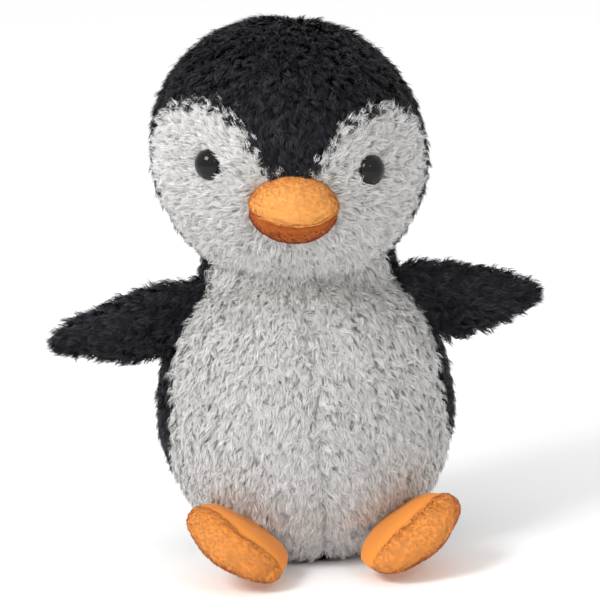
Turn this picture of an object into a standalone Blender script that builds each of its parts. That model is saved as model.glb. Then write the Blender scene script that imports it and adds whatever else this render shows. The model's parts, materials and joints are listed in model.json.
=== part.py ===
"""A seated plush penguin: black and white long-pile fabric over polyester stuffing.

Metres, +Z up. The penguin sits on the plane z = 0 with the middle of its seat at
the origin and faces -Y, so +X is its own left side.

Every fabric panel is a shell as thick as its backing and brushed-down pile. The
panels stop a stitch's width from each other, and the stuffing fills what they wrap.
"""

import math

import bmesh
import bpy
from mathutils import Matrix, Vector
from mathutils.geometry import interpolate_bezier

# Fits
CLEAR = 0.0003                  # between pieces that touch
STUFFING_CLEAR = 0.0005         # between a panel's back and the stuffing
REACH = 0.3                     # how far a cutter runs past everything

# Fabrics
PLUSH = 0.003                   # long-pile panel, backing and pile
WING_PLUSH = 0.0015             # its pile lies flat on the thin wings
VELBOA = 0.0015                 # short-pile panel of the beak and feet

# Body: an egg, wide below and narrow at the neck
BODY_HALF_WIDTH = 0.0665
BODY_HALF_DEPTH = 0.058
BODY_WAIST_Z = 0.066            # height of its widest ring
BODY_DROP = 0.072               # from the widest ring to the egg's lower pole
BODY_RISE = 0.081               # from the widest ring to its upper pole
BODY_TOP_Z = 0.127              # where the body panels end under the neck
BODY_STUFFING_TOP_Z = 0.1215
SIDE_SEAM = (                   # Y and Z of the seam between belly and back, upwards
    (0.006, 0.0),
    (0.004, 0.030),
    (-0.004, 0.045),
    (-0.017, 0.060),
    (-0.021, 0.078),
    (-0.006, 0.127),
)
SEAT_THICKNESS = 0.003
POUCH_RADIUS = 0.030            # bag of plastic pellets that weighs the seat
POUCH_HEIGHT = 0.028

# Neck
NECK_PIVOT_Z = 0.135
NECK_RADIUS = 0.026
NECK_FLOOR_Z = 0.122

# Head
HEAD_X = -0.0015
HEAD_Z = 0.188
HEAD_HALF_WIDTH = 0.0615
HEAD_HALF_DEPTH = 0.059
HEAD_HALF_HEIGHT = 0.0605
HEAD_CUT = 0.048                # from the head's middle down to its neck edge
HEAD_TILT = math.radians(5.3)   # leans to the penguin's left
HEAD_TURN = math.radians(-3)    # looks a little to its right

# White face, drawn in the head's own X and Z: two lobes and a flat-ended peak between
FACE_SEAM_Y = -0.012
PEAK_HALF_WIDTH = 0.0095
PEAK_Z = 0.001
LOBE_TOP_X = 0.038
LOBE_TOP_Z = 0.0295
LOBE_SIDE_X = 0.0605
LOBE_SIDE_Z = 0.003
LOBE_POINTS = 7                 # on each of the lobe's two curves

# Beak
BEAK_X = 0.0022                 # its middle, from the head's middle
BEAK_Z = -0.0145
BEAK_ROOT_Y = 0.057             # in front of the head's middle
BEAK_HALF_WIDTH = 0.0205
BEAK_HALF_HEIGHT = 0.0155
BEAK_LENGTH = 0.021
MOUTH_DROP = 0.001              # the mouth seam below the beak's middle

# Safety eyes
EYE_X = 0.0362
EYE_Z = 0.0023
EYE_RADIUS = 0.007
EYE_HEIGHT = 0.0052
SHANK_RADIUS = 0.0022
SHANK_LENGTH = 0.013
WASHER_RADIUS = 0.009
WASHER_THICKNESS = 0.0012

# Wings: leaf-shaped pads in the side seams
WING_LENGTH = {"left": 0.0525, "right": 0.0590}
WING_HALF_CHORD = 0.0180        # before the taper
WING_HALF_THICKNESS = 0.0078
WING_TAPER = 0.42
WING_ROOT = -0.45               # where the sewn edge cuts the pad, -1 to 1
WING_ROOT_PINCH = 0.25          # share of its thickness left at the sewn edge
WING_ROOT_X = 0.0555
WING_ROOT_Y = -0.011
WING_ROOT_Z = 0.1165
WING_ROOT_LEAN = math.radians(26)
WING_DROOP = {"left": math.radians(-1.5), "right": math.radians(6)}

# Feet: fan-shaped pads under the front of the belly
FOOT_LENGTH = 0.034
FOOT_HALF_WIDTH = 0.0260
FOOT_HALF_THICKNESS = 0.0102
FOOT_TAPER = -0.08
FOOT_ROOT = -0.50
FOOT_ROOT_PINCH = 0.65
FOOT_ROOT_X = {"left": 0.0325, "right": 0.0285}
FOOT_ROOT_Y = -0.0460
FOOT_SPLAY = math.radians(33)
FOOT_ROLL = {"left": math.radians(29), "right": math.radians(33)}  # lifts the outer side
FOOT_OFF_FLOOR = 0.003          # the full belly holds the feet up
FOOT_HINGE_RISE = 0.0045        # hinge above the pad's middle

# Blank label in the centre back seam
LABEL_LENGTH = 0.015
LABEL_WIDTH = 0.011
LABEL_THICKNESS = 0.0008
LABEL_Z = 0.044

SIDES = {"left": 1, "right": -1}


# ---------------------------------------------------------------- scene and colours

for old in list(bpy.data.objects):
    bpy.data.objects.remove(old, do_unlink=True)

PENGUIN = bpy.data.collections.new("plush_penguin")
CUTTERS = bpy.data.collections.new("cutters")
for collection in (PENGUIN, CUTTERS):
    bpy.context.scene.collection.children.link(collection)


def material(name, colour, roughness):
    made = bpy.data.materials.new(name)
    made.use_nodes = True
    shader = made.node_tree.nodes["Principled BSDF"]
    shader.inputs["Base Color"].default_value = (*colour, 1)
    shader.inputs["Roughness"].default_value = roughness
    shader.inputs["Metallic"].default_value = 0
    made.diffuse_color = (*colour, 1)
    return made


BLACK_PLUSH = material("black_plush", (0.012, 0.012, 0.017), 0.85)
WHITE_PLUSH = material("white_plush", (0.62, 0.61, 0.58), 0.9)
UPPER_VELBOA = material("light_orange_velboa", (0.90, 0.40, 0.10), 0.8)
LOWER_VELBOA = material("deep_orange_velboa", (0.72, 0.20, 0.02), 0.8)
FOOT_VELBOA = material("orange_velboa", (0.85, 0.31, 0.05), 0.8)
EYE_PLASTIC = material("black_plastic", (0.008, 0.007, 0.007), 0.08)
WASHER_PLASTIC = material("clear_white_plastic", (0.75, 0.75, 0.72), 0.4)
FIBRE = material("polyester_fibre", (0.80, 0.80, 0.78), 1.0)
POUCH_CLOTH = material("pouch_cloth", (0.70, 0.68, 0.62), 0.9)
LABEL_SATIN = material("label_satin", (0.78, 0.78, 0.76), 0.5)


# ---------------------------------------------------------------- building helpers

def place(name, bm, colour, parent=None):
    """A named piece from a bmesh, in its parent's frame."""
    mesh = bpy.data.meshes.new(name)
    bm.to_mesh(mesh)
    bm.free()
    mesh.shade_smooth()
    mesh.materials.append(colour)
    piece = bpy.data.objects.new(name, mesh)
    piece.parent = parent
    PENGUIN.objects.link(piece)
    return piece


def cutter(name, bm, parent=None):
    """A hidden solid that cuts pieces, in its parent's frame."""
    mesh = bpy.data.meshes.new(name)
    bm.to_mesh(mesh)
    bm.free()
    tool = bpy.data.objects.new(name, mesh)
    tool.parent = parent
    tool.hide_render = True
    tool.display_type = "WIRE"
    CUTTERS.objects.link(tool)
    return tool


def boolean(piece, operation, tool):
    change = piece.modifiers.new(tool.name, "BOOLEAN")
    change.operation = operation
    change.solver = "EXACT"
    change.object = tool


def line_with_fabric(piece, thickness):
    """Gives an open surface its fabric's thickness, inwards."""
    change = piece.modifiers.new("fabric", "SOLIDIFY")
    change.thickness = thickness
    change.offset = -1
    change.use_even_offset = True


def empty(name, location, rotation=(0, 0, 0), parent=None):
    frame = bpy.data.objects.new(name, None)
    frame.location = location
    frame.rotation_euler = rotation
    frame.parent = parent
    PENGUIN.objects.link(frame)
    return frame


def box(low, high):
    bm = bmesh.new()
    bmesh.ops.create_cube(bm, size=1)
    low, high = Vector(low), Vector(high)
    bmesh.ops.scale(bm, verts=bm.verts, vec=high - low)
    bmesh.ops.translate(bm, verts=bm.verts, vec=(low + high) / 2)
    return bm


def round_form(radii, rise=None, around=28, rows=16):
    """An ellipsoid about the origin; rise is its upper half's own height."""
    bm = bmesh.new()
    bmesh.ops.create_uvsphere(bm, u_segments=around, v_segments=rows, radius=1)
    for vert in bm.verts:
        height = rise if rise and vert.co.z > 0 else radii[2]
        vert.co = (vert.co.x * radii[0], vert.co.y * radii[1], vert.co.z * height)
    return bm


def slice_flat(bm, point, outward, close):
    """Removes what lies past a plane, and closes the cut when asked."""
    made = bmesh.ops.bisect_plane(
        bm,
        geom=list(bm.verts) + list(bm.edges) + list(bm.faces),
        plane_co=point,
        plane_no=outward,
        clear_outer=True,
    )
    if close:
        edges = [part for part in made["geom_cut"] if isinstance(part, bmesh.types.BMEdge)]
        bmesh.ops.edgeloop_fill(bm, edges=edges)
        bmesh.ops.recalc_face_normals(bm, faces=bm.faces)


# ---------------------------------------------------------------- body

def body_form(inset):
    bm = round_form(
        (BODY_HALF_WIDTH - inset, BODY_HALF_DEPTH - inset, BODY_DROP - inset),
        rise=BODY_RISE - inset,
    )
    bmesh.ops.translate(bm, verts=bm.verts, vec=(0, 0, BODY_WAIST_Z))
    return bm


def quarter_prism(name, side, front):
    """A quarter of space, between the body's centre plane and its side seam."""
    far = -REACH if front else REACH
    gap = -CLEAR / 2 if front else CLEAR / 2
    outline = [(far, -REACH), (SIDE_SEAM[0][0] + gap, -REACH)]
    outline += [(y + gap, z) for y, z in SIDE_SEAM]
    outline += [(SIDE_SEAM[-1][0] + gap, REACH), (far, REACH)]
    bm = bmesh.new()
    face = bm.faces.new([bm.verts.new((side * CLEAR / 2, y, z)) for y, z in outline])
    made = bmesh.ops.extrude_face_region(bm, geom=[face])
    moved = [part for part in made["geom"] if isinstance(part, bmesh.types.BMVert)]
    bmesh.ops.translate(bm, verts=moved, vec=(side * REACH, 0, 0))
    bmesh.ops.recalc_face_normals(bm, faces=bm.faces)
    return cutter(name, bm)


def body_panel(name, colour, side, front):
    """A quarter of the body's cover, between the centre seam and the side seam."""
    bm = body_form(0)
    slice_flat(bm, (0, 0, BODY_TOP_Z), (0, 0, 1), close=False)
    slice_flat(bm, (0, 0, SEAT_THICKNESS + CLEAR), (0, 0, -1), close=False)
    piece = place(name, bm, colour)
    line_with_fabric(piece, PLUSH)
    boolean(piece, "INTERSECT", quarter_prism(f"{name}_quarter", side, front))


def seat_panel():
    """The flat round panel the penguin sits on."""
    level = BODY_WAIST_Z - SEAT_THICKNESS - CLEAR
    share = math.sqrt(1 - (level / BODY_DROP) ** 2)
    bm = bmesh.new()
    bmesh.ops.create_cone(
        bm, cap_ends=True, segments=36, radius1=1, radius2=1, depth=SEAT_THICKNESS
    )
    bmesh.ops.scale(
        bm, verts=bm.verts, vec=(BODY_HALF_WIDTH * share, BODY_HALF_DEPTH * share, 1)
    )
    bmesh.ops.translate(bm, verts=bm.verts, vec=(0, 0, SEAT_THICKNESS / 2))
    place("seat_panel", bm, BLACK_PLUSH)


def pouch_form(grow):
    bm = round_form(
        (POUCH_RADIUS + grow, POUCH_RADIUS + grow, POUCH_HEIGHT / 2 + grow), around=20, rows=10
    )
    floor = SEAT_THICKNESS + CLEAR
    bmesh.ops.translate(bm, verts=bm.verts, vec=(0, 0, floor + POUCH_HEIGHT / 2 + STUFFING_CLEAR))
    return bm


def body_filling():
    """Fibre stuffing around a pouch of pellets in the seat."""
    bm = body_form(PLUSH + STUFFING_CLEAR)
    floor = SEAT_THICKNESS + CLEAR + POUCH_HEIGHT / 4
    slice_flat(bm, (0, 0, BODY_STUFFING_TOP_Z), (0, 0, 1), close=True)
    slice_flat(bm, (0, 0, floor), (0, 0, -1), close=True)
    stuffing = place("body_stuffing", bm, FIBRE)
    boolean(stuffing, "DIFFERENCE", cutter("pouch_room", pouch_form(STUFFING_CLEAR)))
    place("pellet_pouch", pouch_form(0), POUCH_CLOTH)


def care_label():
    """A blank satin loop sewn into the centre back seam."""
    drop = BODY_WAIST_Z - LABEL_Z
    surface = BODY_HALF_DEPTH * math.sqrt(1 - (drop / BODY_DROP) ** 2)
    rise = LABEL_WIDTH / 2
    half = LABEL_THICKNESS / 2
    low = (-half, surface - LABEL_WIDTH, LABEL_Z - rise)
    label = place("care_label", box(low, (half, surface + LABEL_LENGTH, LABEL_Z + rise)), LABEL_SATIN)
    boolean(label, "DIFFERENCE", cutter("label_edge", body_form(-CLEAR)))


for side_name, side_sign in SIDES.items():
    body_panel(f"belly_{side_name}", WHITE_PLUSH, side_sign, front=True)
    body_panel(f"back_{side_name}", BLACK_PLUSH, side_sign, front=False)
seat_panel()
body_filling()
care_label()


# ---------------------------------------------------------------- neck

def neck_stuffing():
    """A ball of firm fibre that the head sits on and turns about."""
    frame = empty("neck_pivot", (0, 0, NECK_PIVOT_Z))
    bm = round_form((NECK_RADIUS, NECK_RADIUS, NECK_RADIUS), around=20, rows=12)
    slice_flat(bm, (0, 0, NECK_FLOOR_Z - NECK_PIVOT_Z), (0, 0, -1), close=True)
    place("neck_stuffing", bm, FIBRE, frame)


neck_stuffing()


# ---------------------------------------------------------------- head

HEAD = empty("head_frame", (HEAD_X, 0, HEAD_Z), (0, HEAD_TILT, HEAD_TURN))


def head_form(inset):
    return round_form(
        (HEAD_HALF_WIDTH - inset, HEAD_HALF_DEPTH - inset, HEAD_HALF_HEIGHT - inset)
    )


def face_prism(name, side, grow):
    """A solid through one half of the white face; grow widens it all round."""
    centre = CLEAR / 2 if grow == 0 else -CLEAR
    rise = interpolate_bezier(
        Vector((PEAK_HALF_WIDTH, PEAK_Z)),
        Vector((PEAK_HALF_WIDTH + 0.007, PEAK_Z + 0.017)),
        Vector((LOBE_TOP_X - 0.016, LOBE_TOP_Z)),
        Vector((LOBE_TOP_X, LOBE_TOP_Z)),
        LOBE_POINTS,
    )
    fall = interpolate_bezier(
        Vector((LOBE_TOP_X, LOBE_TOP_Z)),
        Vector((LOBE_TOP_X + 0.014, LOBE_TOP_Z)),
        Vector((LOBE_SIDE_X - 0.001, LOBE_SIDE_Z + 0.015)),
        Vector((LOBE_SIDE_X, LOBE_SIDE_Z)),
        LOBE_POINTS,
    )
    upper = [Vector((PEAK_HALF_WIDTH, PEAK_Z))] + rise[1:] + fall[1:]
    grown = []
    for index, point in enumerate(upper):
        before, after = upper[max(index - 1, 0)], upper[min(index + 1, len(upper) - 1)]
        along = (after - before).normalized()
        grown.append(point + Vector((-along.y, along.x)) * grow)
    outline = [(centre, -HEAD_HALF_HEIGHT * 2), (centre, PEAK_Z + grow)]
    outline += [(point.x, point.y) for point in grown]
    outline += [(REACH, LOBE_SIDE_Z + grow), (REACH, -HEAD_HALF_HEIGHT * 2)]
    bm = bmesh.new()
    verts = [bm.verts.new((side * x, FACE_SEAM_Y + grow, z)) for x, z in outline]
    face = bm.faces.new(verts)
    made = bmesh.ops.extrude_face_region(bm, geom=[face])
    moved = [part for part in made["geom"] if isinstance(part, bmesh.types.BMVert)]
    bmesh.ops.translate(bm, verts=moved, vec=(0, -REACH, 0))
    bmesh.ops.recalc_face_normals(bm, faces=bm.faces)
    return cutter(name, bm, HEAD)


def head_panel(name, colour):
    bm = head_form(0)
    slice_flat(bm, (0, 0, -HEAD_CUT), (0, 0, -1), close=False)
    piece = place(name, bm, colour, HEAD)
    line_with_fabric(piece, PLUSH)
    return piece


def cylinder(radius, low, high, segments=16):
    bm = bmesh.new()
    bmesh.ops.create_cone(
        bm, cap_ends=True, segments=segments, radius1=radius, radius2=radius, depth=high - low
    )
    bmesh.ops.translate(bm, verts=bm.verts, vec=(0, 0, (low + high) / 2))
    return bm


def turned(name, profile, colour, parent):
    """A piece turned about its frame's Z from a profile that runs down its outer side."""
    mesh = bpy.data.meshes.new(name)
    points = [(radius, 0, height) for radius, height in profile]
    mesh.from_pydata(points, [(n, n + 1) for n in range(len(points) - 1)], [])
    mesh.materials.append(colour)
    piece = bpy.data.objects.new(name, mesh)
    piece.parent = parent
    PENGUIN.objects.link(piece)
    spin = piece.modifiers.new("turn", "SCREW")
    spin.steps = spin.render_steps = 16
    spin.use_merge_vertices = True
    spin.merge_threshold = 0.00005
    spin.use_smooth_shade = True
    return piece


def eye_frame(name, side):
    """A frame on the face with its Z along the fabric's outward normal."""
    x, z = side * EYE_X, EYE_Z
    share = 1 - (x / HEAD_HALF_WIDTH) ** 2 - (z / HEAD_HALF_HEIGHT) ** 2
    y = -HEAD_HALF_DEPTH * math.sqrt(share)
    normal = Vector((x / HEAD_HALF_WIDTH**2, y / HEAD_HALF_DEPTH**2, z / HEAD_HALF_HEIGHT**2))
    turn = normal.to_track_quat("Z", "Y").to_euler()
    return empty(f"eye_{name}_frame", (x, y, z), turn, HEAD)


def washer_top():
    """The washer's face below the eye's frame, clear of the curved fabric's back."""
    sag = WASHER_RADIUS**2 / (2 * HEAD_HALF_DEPTH)
    return -PLUSH - sag - 4 * CLEAR


def eye(name, frame):
    """A domed safety eye on a shank, held inside the head by a locking washer."""
    seat = CLEAR
    quarter = 5
    dome = [
        (
            EYE_RADIUS * math.sin(math.pi / 2 * n / quarter),
            seat + EYE_HEIGHT * math.cos(math.pi / 2 * n / quarter),
        )
        for n in range(quarter + 1)
    ]
    shank = [(SHANK_RADIUS, seat), (SHANK_RADIUS, -SHANK_LENGTH), (0, -SHANK_LENGTH)]
    turned(f"eye_{name}", dome + shank, EYE_PLASTIC, frame)
    top = washer_top()
    low = top - WASHER_THICKNESS
    hole = SHANK_RADIUS + CLEAR
    ring = [(hole, top), (WASHER_RADIUS, top), (WASHER_RADIUS, low), (hole, low), (hole, top)]
    turned(f"eye_washer_{name}", ring, WASHER_PLASTIC, frame)


def beak_form(inset):
    bm = round_form(
        (BEAK_HALF_WIDTH - inset, BEAK_LENGTH - inset, BEAK_HALF_HEIGHT - inset),
        around=22,
        rows=12,
    )
    bmesh.ops.translate(bm, verts=bm.verts, vec=(BEAK_X, -BEAK_ROOT_Y, BEAK_Z))
    return bm


def beak():
    """Two short-pile panels, joined at the mouth, around a little stuffing."""
    head_room = cutter("beak_back", head_form(-CLEAR), HEAD)
    hollow = cutter("beak_hollow", beak_form(VELBOA), HEAD)
    mouth = BEAK_Z - MOUTH_DROP
    bounds = {
        "beak_upper": (UPPER_VELBOA, mouth + CLEAR / 2, REACH),
        "beak_lower": (LOWER_VELBOA, -REACH, mouth - CLEAR / 2),
    }
    for name, (colour, low, high) in bounds.items():
        panel = place(name, beak_form(0), colour, HEAD)
        half = box((-REACH, -REACH, low), (REACH, REACH, high))
        boolean(panel, "DIFFERENCE", hollow)
        boolean(panel, "DIFFERENCE", head_room)
        boolean(panel, "INTERSECT", cutter(f"{name}_half", half, HEAD))
    stuffing = place("beak_stuffing", beak_form(VELBOA + STUFFING_CLEAR), FIBRE, HEAD)
    boolean(stuffing, "DIFFERENCE", head_room)


def head():
    stuffing_form = head_form(PLUSH + STUFFING_CLEAR)
    slice_flat(stuffing_form, (0, 0, -HEAD_CUT), (0, 0, -1), close=True)
    stuffing = place("head_stuffing", stuffing_form, FIBRE, HEAD)
    room = NECK_RADIUS + 2 * CLEAR
    socket_form = round_form((room, room, room), around=20, rows=12)
    socket = cutter("neck_socket", socket_form)
    socket.location = (0, 0, NECK_PIVOT_Z)
    boolean(stuffing, "DIFFERENCE", socket)
    for name, side in SIDES.items():
        xs = sorted((side * CLEAR / 2, side * REACH))
        half = cutter(f"head_{name}", box((xs[0], -REACH, -REACH), (xs[1], REACH, REACH)), HEAD)
        crown = head_panel(f"crown_{name}", BLACK_PLUSH)
        boolean(crown, "INTERSECT", half)
        boolean(crown, "DIFFERENCE", face_prism(f"face_{name}_room", side, CLEAR))
        face = head_panel(f"face_{name}", WHITE_PLUSH)
        boolean(face, "INTERSECT", face_prism(f"face_{name}_outline", side, 0))
        frame = eye_frame(name, side)
        eye(name, frame)
        hole = cylinder(SHANK_RADIUS + CLEAR, -SHANK_LENGTH - CLEAR, EYE_HEIGHT)
        hole = cutter(f"shank_room_{name}", hole, frame)
        boolean(face, "DIFFERENCE", hole)
        boolean(stuffing, "DIFFERENCE", hole)
        low = washer_top() - WASHER_THICKNESS - CLEAR
        pocket = cylinder(WASHER_RADIUS + STUFFING_CLEAR, low, 0)
        boolean(stuffing, "DIFFERENCE", cutter(f"washer_room_{name}", pocket, frame))
    beak()


head()


# ---------------------------------------------------------------- wings and feet

def pad_form(length, half_width, half_thickness, taper, root, pinch, fabric, axes, inset, close):
    """A pad that lies along axes (out, wide, thick) from a sewn edge at the origin.

    The pad is a ball stretched along `out` and tapered towards its tip. It is cut off
    at `root`, where `pinch` is the share of its thickness that the seam leaves, but never
    so little that the two layers of fabric meet.
    """
    thinnest = fabric + STUFFING_CLEAR + CLEAR
    out, wide, thick = axes
    bm = bmesh.new()
    bmesh.ops.create_uvsphere(bm, u_segments=20, v_segments=12, radius=1)
    reach = length / (1 - root)
    inner = reach - inset
    sewn = root if close else root - inset / reach
    slice_flat(bm, (0, 0, sewn), (0, 0, -1), close=True)
    if wide.cross(thick).dot(out) < 0:
        bmesh.ops.reverse_faces(bm, faces=bm.faces)
    for vert in bm.verts:
        along = vert.co.z
        spread = 1 - taper * along
        ramp = min(1, max(0, (along - root) / (0.4 - root)))
        swell = pinch + (1 - pinch) * math.sin(ramp * math.pi / 2)
        vert.co = (
            out * ((along - root) * (inner if along > 0 else reach))
            + wide * (vert.co.x * max(half_width * spread - inset, 0))
            + thick * (vert.co.y * (max(half_thickness * spread * swell, thinnest) - inset))
        )
    return bm


def padded_limb(names, colours, fabric, frame, form):
    """Two panels sewn edge to edge around stuffing, split at the frame's own XZ plane."""
    hollow = cutter(f"{names[2]}_hollow", form(fabric, False), frame)
    for name, colour, split in zip(names, colours, (1, -1)):
        panel = place(name, form(0, True), colour, frame)
        boolean(panel, "DIFFERENCE", hollow)
        boolean(panel, "INTERSECT", split_half(f"{name}_half", split, frame))
    return place(names[2], form(fabric + STUFFING_CLEAR, True), FIBRE, frame)


def split_half(name, sign, frame):
    """Half of space on one side of a pad's edge seam, which lies in its frame's XZ plane."""
    ys = sorted((sign * CLEAR / 2, sign * REACH))
    return cutter(name, box((-REACH, ys[0], -REACH), (REACH, ys[1], REACH)), frame)


def wing(name, side):
    """A leaf-shaped pad whose straight edge is sewn into the side seam."""
    frame = empty(f"wing_{name}_seam", (side * WING_ROOT_X, WING_ROOT_Y, WING_ROOT_Z))
    droop = WING_DROOP[name]
    out = Vector((side * math.cos(droop), 0, -math.sin(droop)))
    wide = Vector((-side * math.sin(WING_ROOT_LEAN), 0, math.cos(WING_ROOT_LEAN)))
    axes = (out, wide, Vector((0, 1, 0)))

    def form(inset, close):
        return pad_form(
            WING_LENGTH[name], WING_HALF_CHORD, WING_HALF_THICKNESS, WING_TAPER,
            WING_ROOT, WING_ROOT_PINCH, WING_PLUSH, axes, inset, close,
        )

    names = (f"wing_{name}_back", f"wing_{name}_front", f"wing_{name}_stuffing")
    padded_limb(names, (BLACK_PLUSH, BLACK_PLUSH), WING_PLUSH, frame, form)


def foot(name, side):
    """A fan-shaped pad splayed outwards, its outer side lifted by the body's curve."""
    roll = FOOT_ROLL[name]
    lift = FOOT_OFF_FLOOR + math.hypot(
        FOOT_HALF_THICKNESS * (1 - FOOT_TAPER) * math.cos(roll), FOOT_HALF_WIDTH * math.sin(roll)
    )
    turn = Matrix.Rotation(side * FOOT_SPLAY, 4, "Z") @ Matrix.Rotation(-side * roll, 4, "Y")
    lay = turn @ Matrix.Rotation(math.pi / 2, 4, "X")
    hinge = Vector((side * FOOT_ROOT_X[name], FOOT_ROOT_Y, lift + FOOT_HINGE_RISE))
    frame = empty(f"foot_{name}_seam", hinge, lay.to_euler())
    axes = (Vector((0, 0, 1)), Vector((1, 0, 0)), Vector((0, 1, 0)))

    def form(inset, close):
        return pad_form(
            FOOT_LENGTH, FOOT_HALF_WIDTH, FOOT_HALF_THICKNESS, FOOT_TAPER,
            FOOT_ROOT, FOOT_ROOT_PINCH, VELBOA, axes, inset, close,
        )

    names = (f"foot_{name}_top", f"foot_{name}_sole", f"foot_{name}_stuffing")
    pad = empty(f"foot_{name}_pad", (0, -FOOT_HINGE_RISE, 0), parent=frame)
    padded_limb(names, (FOOT_VELBOA, FOOT_VELBOA), VELBOA, pad, form)


for side_name, side_sign in SIDES.items():
    wing(side_name, side_sign)
    foot(side_name, side_sign)
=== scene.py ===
import json
import math

import bpy
import numpy as np
from mathutils import Matrix, Vector


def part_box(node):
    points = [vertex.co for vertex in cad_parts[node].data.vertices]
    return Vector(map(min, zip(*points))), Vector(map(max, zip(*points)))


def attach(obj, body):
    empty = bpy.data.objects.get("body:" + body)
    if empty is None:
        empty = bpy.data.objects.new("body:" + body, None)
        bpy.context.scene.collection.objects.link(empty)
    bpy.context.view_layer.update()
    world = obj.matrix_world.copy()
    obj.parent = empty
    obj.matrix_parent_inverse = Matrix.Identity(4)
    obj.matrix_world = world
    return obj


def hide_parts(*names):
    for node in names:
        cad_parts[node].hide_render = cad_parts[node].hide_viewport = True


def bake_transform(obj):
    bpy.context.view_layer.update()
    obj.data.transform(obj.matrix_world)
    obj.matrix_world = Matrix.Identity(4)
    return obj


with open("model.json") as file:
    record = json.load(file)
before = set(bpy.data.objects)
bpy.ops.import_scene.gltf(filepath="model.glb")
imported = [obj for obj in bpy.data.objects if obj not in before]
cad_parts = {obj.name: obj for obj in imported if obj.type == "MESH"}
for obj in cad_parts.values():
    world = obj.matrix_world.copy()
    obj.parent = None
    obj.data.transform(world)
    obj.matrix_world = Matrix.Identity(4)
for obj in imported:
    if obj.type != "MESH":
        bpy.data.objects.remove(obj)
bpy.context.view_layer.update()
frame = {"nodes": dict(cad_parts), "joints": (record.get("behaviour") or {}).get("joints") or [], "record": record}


# ---------------------------------------------------------------- Body cover
# Four panels of long-pile plush, two white over the belly and two black over the back, are
# sewn edge to edge down the middle and the sides, turned right side out and stuffed firm.
# The polyester pile stands in brushed tufts that hide the stitches but dip along the seams.

SIDES = {"left": 1, "right": -1}
BODY_HALF_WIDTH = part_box("back_left")[1][0]
BODY_HALF_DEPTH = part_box("back_left")[1][1]
BODY_WAIST_Z = 0.066            # the widest height
BODY_DROP = 0.072               # half height of the oval below the waist
BODY_RISE = 0.081               # and of the one above it
BODY_LOW_Z = 0.0045             # the seam with the seat
BODY_TOP_Z = 0.135              # closes inwards under the chin
SIDE_SEAM_Z = (0.0, 0.030, 0.045, 0.060, 0.078, 0.127)
SIDE_SEAM_Y = (0.006, 0.004, -0.004, -0.017, -0.021, -0.006)
SIDE_SEAM_DIP = (0.004, 0.0008)     # how wide and how deep the stitches pull the fabric in
BELLY_SEAM_DIP = (0.0035, 0.0012)
BELLY_SEAM_X = 0.0035           # the belly seam wanders to the toy's left, low down
BELLY_SEAM_TRIM = 0.0018        # half width of the strip where the stitches catch the pile
SIDE_TRIM_Z = 0.062             # below this the pile at the sides gets shorter
SIDE_TRIM_FADE = 0.030
BACKING_DEPTH = 0.0014          # the woven backing below the brushed pile's outside
FLOOR_GAP = 0.0004              # no fibre reaches lower than this
CHIN_Z = 0.132                  # the painted shade under the chin is darkest here, and fades over CHIN_FADE
CHIN_FADE = 0.020

LONG_PILE = {
    "tufts": 380_000,           # to the square metre
    "fibres": 11,               # ribbons in a tuft
    "length": 0.0062,
    "lift": math.radians(24),   # how steeply a tuft stands up from the backing
    "stray": 0.42,              # how far tufts turn from the way they are brushed
    "root_radius": 0.0016,
    "gather": 0.45,             # how wide a tuft's tip is, to its root
    "scatter": 0.00045,         # how far single tips stray
    "width": 0.00034,           # of a ribbon at its root
    "bulge": 0.22,              # how far a ribbon's middle stands out, to its length
    "curl": 0.18,               # and how far it bends sideways
    "spread_shade": 0.20,       # how far tufts differ in shade
    "softness": (0.85, 0.12, 0.42),     # shares of the skin, the ribbon and the tuft in shading
}
LEAST_PILE = 0.2                # pile trimmed to less than this share is left off
FIBRE_SPREAD = (0.75, 1.12)     # shortest and longest fibre, to its tuft
TUFT_SPREAD = (0.8, 1.2)
LIFT_SPREAD = 0.2

UV_CELLS = 256                  # one narrow strip of the bake map for each shade
TURN = 2 * math.pi


def unit(vectors):
    return vectors / np.maximum(np.linalg.norm(vectors, axis=-1, keepdims=True), 1e-9)


def outward(points):
    """Normals of a grid whose columns run rightwards and rows upwards, seen from outside."""
    across = np.gradient(points, axis=1)
    up = np.gradient(points, axis=0)
    return unit(np.cross(across, up))


def lumps(points, seed, wavelength, height):
    """The stuffing's gentle unevenness, from a few waves in set directions."""
    rng = np.random.default_rng(seed)
    total = 0
    for _ in range(6):
        way = unit(rng.normal(size=3)) * TURN / (wavelength * rng.uniform(0.7, 1.4))
        total = total + np.sin(points @ way + rng.uniform(0, TURN))
    return height * total[..., None] / math.sqrt(6)


def dip(distance, width, depth):
    """How deep a seam pulls the fabric in, at a distance from its stitches."""
    return depth * np.exp(-((distance / width) ** 2))[..., None]


def faces_of(shape, keep):
    """The quads of a grid that are kept, as corner numbers; the columns close into a ring."""
    columns = shape[1]
    row, column = np.nonzero(keep)
    after = (column + 1) % columns
    low, high = row * columns, (row + 1) * columns
    return np.stack((low + column, low + after, high + after, high + column), axis=1)


def face_centres(points):
    ring = np.concatenate((points, points[:, :1]), axis=1)
    return (ring[:-1, :-1] + ring[1:, :-1] + ring[:-1, 1:] + ring[1:, 1:]) / 4


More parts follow.
